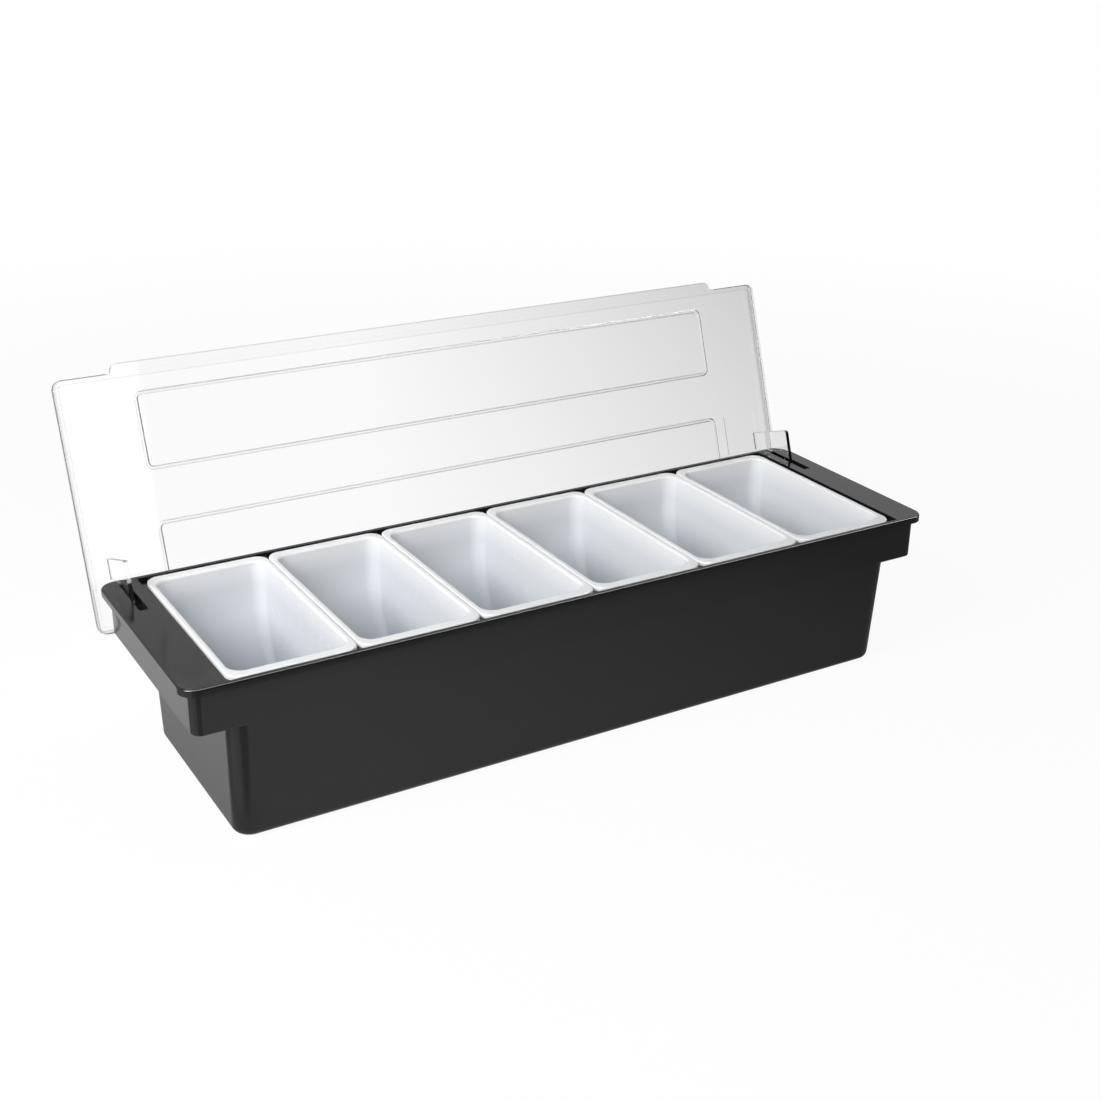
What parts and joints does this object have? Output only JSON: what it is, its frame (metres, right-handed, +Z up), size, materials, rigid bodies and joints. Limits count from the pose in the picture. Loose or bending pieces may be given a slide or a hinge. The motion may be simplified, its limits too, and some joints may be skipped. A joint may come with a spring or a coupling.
{
  "type": "condiment holder",
  "caption": "Long bar condiment holder: a black tray with lift-out rounded cups in a row and a clear hinged lid that leans back when open.",
  "frame": {"origin": "centre of the tray's flat underside", "axes": "+X along the tray to the right as seen from the front, +Y to the back where the lid is hinged, +Z up"},
  "size_m": [0.503, 0.2064, 0.2148],
  "materials": {
    "tray": "smooth glossy black moulded plastic",
    "insert": "smooth milky white plastic that lets a little light through",
    "lid": "clear glossy plastic"
  },
  "bodies": {
    "tray": {"tray": "tray", "insert_1": "insert", "insert_2": "insert", "insert_3": "insert", "insert_4": "insert", "insert_5": "insert", "insert_6": "insert"},
    "lid": {"lid": "lid"}
  },
  "joints": [
    {"name": "lid_hinge", "type": "hinge", "parent": "tray", "child": "lid", "pos_m": [0, 0.064, 0.0865], "axis": [1, 0, 0], "range_deg": [0, 109.1]}
  ]
}
